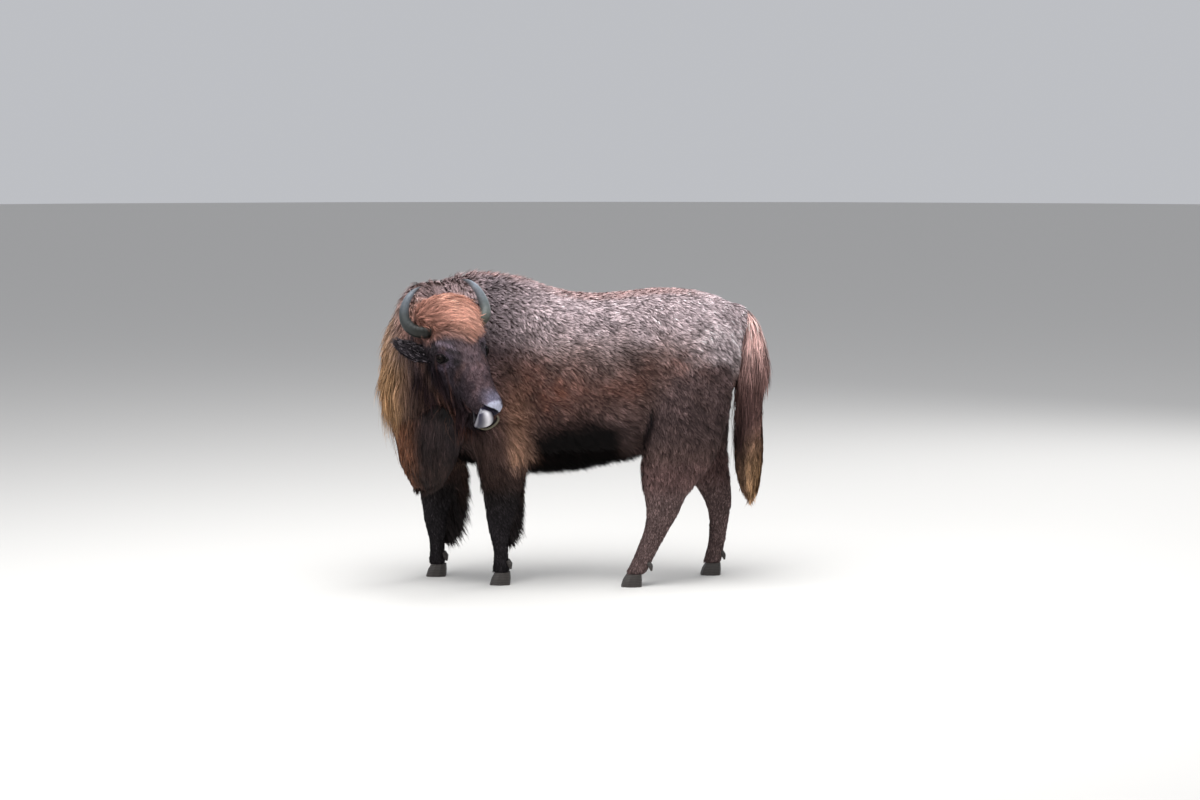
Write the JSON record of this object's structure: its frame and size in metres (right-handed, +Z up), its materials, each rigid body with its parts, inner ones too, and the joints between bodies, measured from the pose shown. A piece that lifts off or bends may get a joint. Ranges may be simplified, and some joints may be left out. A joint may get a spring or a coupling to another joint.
{
  "type": "standing wisent",
  "caption": "Life-size standing wisent cow looking back over its left side and licking its nose, with hump, curved horns, beard and long-haired tail.",
  "frame": {"origin": "on the floor, midway along and across the whole animal's bounding box", "axes": "+Z up; the trunk faces -X, so +X runs towards the tail; the animal's left side faces -Y"},
  "size_m": [1.9866, 1.1506, 1.594],
  "materials": {
    "coat": "short shaggy brown hair with a grey sheen on the back",
    "dark_coat": "dark brown hair of the face, ears and lower limbs",
    "mane": "long hanging hair of the throat and breast, ochre at its outer edge",
    "tail_hair": "long straight locks, rufous with an ochre end",
    "horn": "grey horn sheath, ridged at the base and smooth at the tip",
    "hoof": "dark worn hoof horn",
    "eye": "wet dark brown eye",
    "tongue": "wet blue-grey tongue"
  },
  "bodies": {
    "root": {"horn_left": "horn", "ear_left": "dark_coat", "eye_left": "eye", "horn_right": "horn", "ear_right": "dark_coat", "eye_right": "eye", "tongue": "tongue", "head": "dark_coat", "jaw": "dark_coat", "neck": "coat", "mane": "mane", "trunk": "coat", "tail_dock": "coat", "tail_hair": "tail_hair", "fore_left_upper": "coat", "fore_left_lower": "dark_coat", "fore_left_hoof_inner": "hoof", "fore_left_dewclaw_inner": "hoof", "fore_left_hoof_outer": "hoof", "fore_left_dewclaw_outer": "hoof", "fore_right_upper": "coat", "fore_right_lower": "dark_coat", "fore_right_hoof_inner": "hoof", "fore_right_dewclaw_inner": "hoof", "fore_right_hoof_outer": "hoof", "fore_right_dewclaw_outer": "hoof", "hind_left_upper": "coat", "hind_left_lower": "dark_coat", "hind_left_hoof_inner": "hoof", "hind_left_dewclaw_inner": "hoof", "hind_left_hoof_outer": "hoof", "hind_left_dewclaw_outer": "hoof", "hind_right_upper": "coat", "hind_right_lower": "dark_coat", "hind_right_hoof_inner": "hoof", "hind_right_dewclaw_inner": "hoof", "hind_right_hoof_outer": "hoof", "hind_right_dewclaw_outer": "hoof"}
  },
  "joints": []
}
